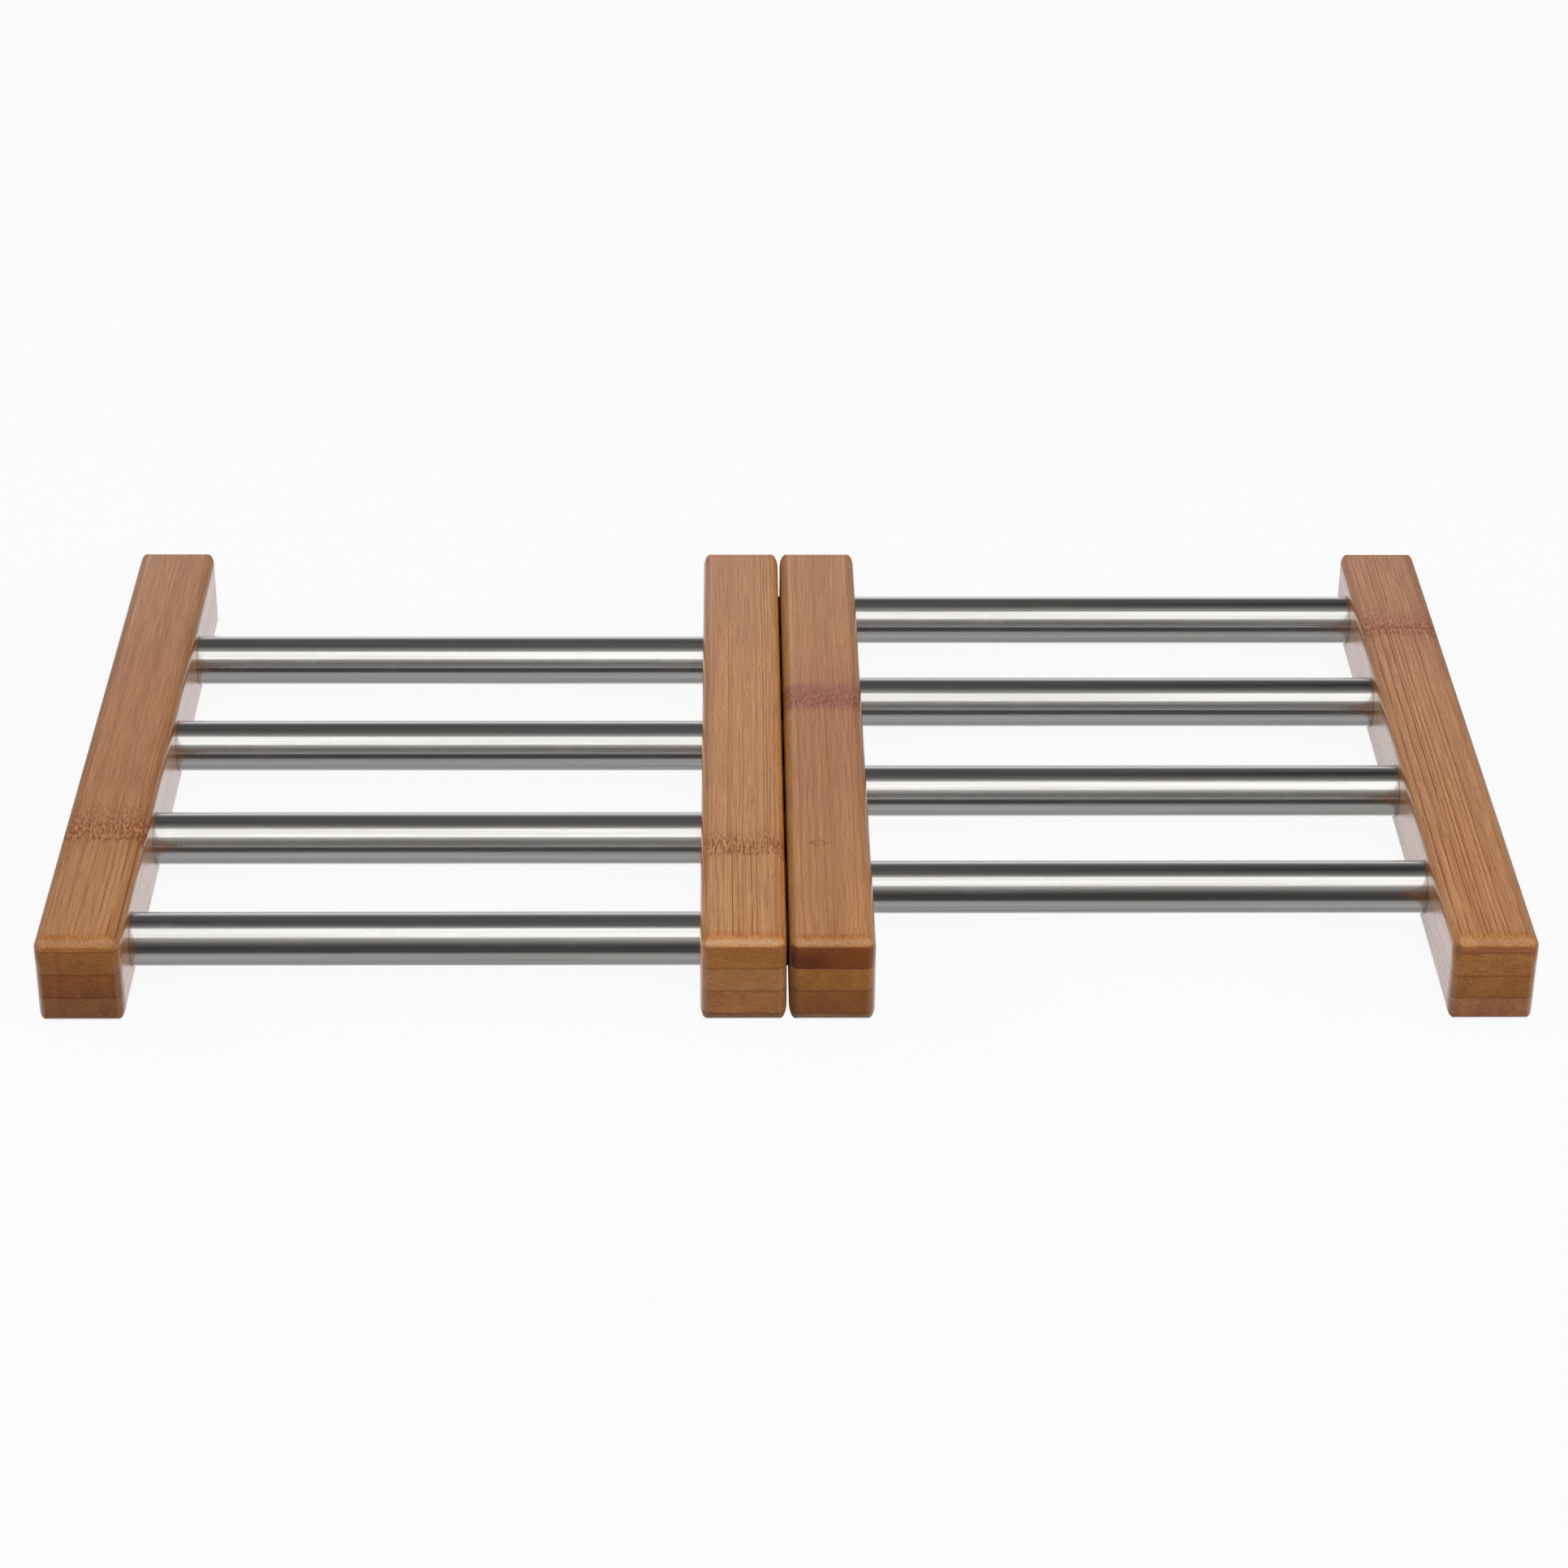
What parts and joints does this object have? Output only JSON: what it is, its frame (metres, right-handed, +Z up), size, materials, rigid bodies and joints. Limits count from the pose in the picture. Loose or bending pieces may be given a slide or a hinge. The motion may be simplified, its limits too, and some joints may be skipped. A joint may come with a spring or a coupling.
{
  "type": "expanding trivet",
  "caption": "Expanding trivet: two frames of bamboo bars and stainless steel tubes that slide through each other to widen the rest for hot pans.",
  "frame": {"origin": "middle of the surface the trivet stands on, with the trivet fully open", "axes": "+X along the tubes from the left frame's outer bar to the right frame's, +Y along the bars to the back, +Z up"},
  "size_m": [0.3286, 0.19, 0.0215],
  "materials": {
    "bamboo": "laminated bamboo, clear satin lacquer",
    "stainless_tube": "brushed along the tube",
    "brad_wire": "bright steel wire"
  },
  "bodies": {
    "left_frame": {"left_frame_outer_bar": "bamboo", "left_frame_inner_bar": "bamboo", "left_frame_tube_1": "stainless_tube", "left_frame_tube_2": "stainless_tube", "left_frame_tube_3": "stainless_tube", "left_frame_tube_4": "stainless_tube", "left_frame_outer_brad_1": "brad_wire", "left_frame_outer_brad_2": "brad_wire", "left_frame_outer_brad_3": "brad_wire", "left_frame_outer_brad_4": "brad_wire", "left_frame_inner_brad_1": "brad_wire", "left_frame_inner_brad_2": "brad_wire", "left_frame_inner_brad_3": "brad_wire", "left_frame_inner_brad_4": "brad_wire"},
    "right_frame": {"right_frame_outer_bar": "bamboo", "right_frame_inner_bar": "bamboo", "right_frame_tube_1": "stainless_tube", "right_frame_tube_2": "stainless_tube", "right_frame_tube_3": "stainless_tube", "right_frame_tube_4": "stainless_tube", "right_frame_outer_brad_1": "brad_wire", "right_frame_outer_brad_2": "brad_wire", "right_frame_outer_brad_3": "brad_wire", "right_frame_outer_brad_4": "brad_wire", "right_frame_inner_brad_1": "brad_wire", "right_frame_inner_brad_2": "brad_wire", "right_frame_inner_brad_3": "brad_wire", "right_frame_inner_brad_4": "brad_wire"}
  },
  "joints": [
    {"name": "expand_slide", "type": "slide", "parent": "left_frame", "child": "right_frame", "axis": [1, 0, 0], "range_m": [-0.1257, 0.0002]}
  ]
}
